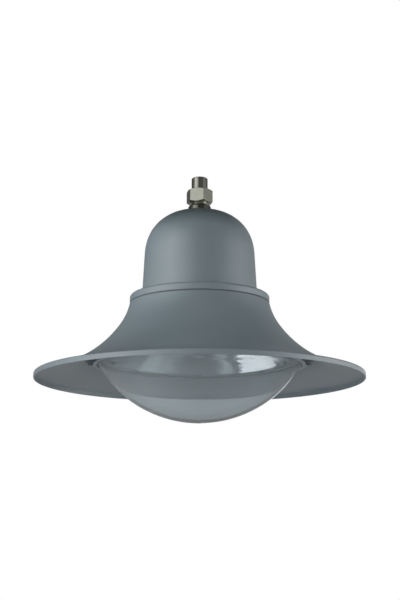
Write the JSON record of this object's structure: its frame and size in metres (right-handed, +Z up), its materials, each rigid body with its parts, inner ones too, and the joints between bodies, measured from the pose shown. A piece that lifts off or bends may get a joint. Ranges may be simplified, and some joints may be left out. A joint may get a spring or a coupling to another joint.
{
  "type": "pendant park light",
  "caption": "Hanging park light: dome housing on a threaded pipe, flared skirt with a turned rim, and a clear bowl below.",
  "frame": {"origin": "centre of the suspension nut's top face, on the pipe's axis, where the sleeve of the pole's arm seats", "axes": "+Z upwards along the pipe; the first pair of bowl ears lies along X"},
  "size_m": [0.5214, 0.5214, 0.4018],
  "materials": {
    "pipe_metal": "bright nickel, drawn",
    "nut_metal": "bright nickel, fine turned",
    "zinc": "zinc plated",
    "housing_paint": "satin, blue grey powder paint",
    "skirt_paint": "satin, blue grey powder paint",
    "gasket_rubber": "matt",
    "ring_metal": "satin grey paint",
    "dark_steel": "dark burnished",
    "reflector_metal": "bright anodised, spun",
    "bowl_clear": "clear, slightly grey",
    "porcelain": "unglazed, off white",
    "lamp_glass": "clear",
    "burner_ceramic": "sintered, matt",
    "tray_metal": "galvanised sheet",
    "ballast_iron": "black varnish",
    "white_plastic": "moulded",
    "can_metal": "drawn can",
    "dark_plastic": "moulded",
    "brass_metal": "plain",
    "lead_silicone": "silicone insulation"
  },
  "bodies": {
    "root": {"suspension_pipe": "pipe_metal", "suspension_nut": "nut_metal", "pipe_flange": "pipe_metal", "lock_washer": "zinc", "lock_nut": "zinc", "upper_housing": "housing_paint", "joint_gasket": "gasket_rubber", "skirt": "skirt_paint", "hanger_straps": "zinc", "joint_bolts": "zinc", "joint_washers": "zinc", "mounting_ring": "ring_metal", "strap_screws": "dark_steel", "strap_nuts": "zinc", "reflector": "reflector_metal", "reflector_screws": "dark_steel", "bowl_gasket": "gasket_rubber", "bowl": "bowl_clear", "clamp_ring": "ring_metal", "clamp_screws": "dark_steel", "clamp_nuts": "zinc", "lampholder": "porcelain", "lampholder_screws": "zinc", "lamp_base": "porcelain", "lamp_tube": "lamp_glass", "arc_tube": "burner_ceramic", "gear_tray": "tray_metal", "tray_screws": "zinc", "ballast": "ballast_iron", "igniter": "white_plastic", "capacitor": "can_metal", "capacitor_clip": "zinc", "terminal_block": "white_plastic", "cable_clamp": "dark_plastic", "earth_screw": "brass_metal", "gear_screws": "zinc", "lead_grommet": "gasket_rubber", "lamp_leads": "lead_silicone"}
  },
  "joints": []
}
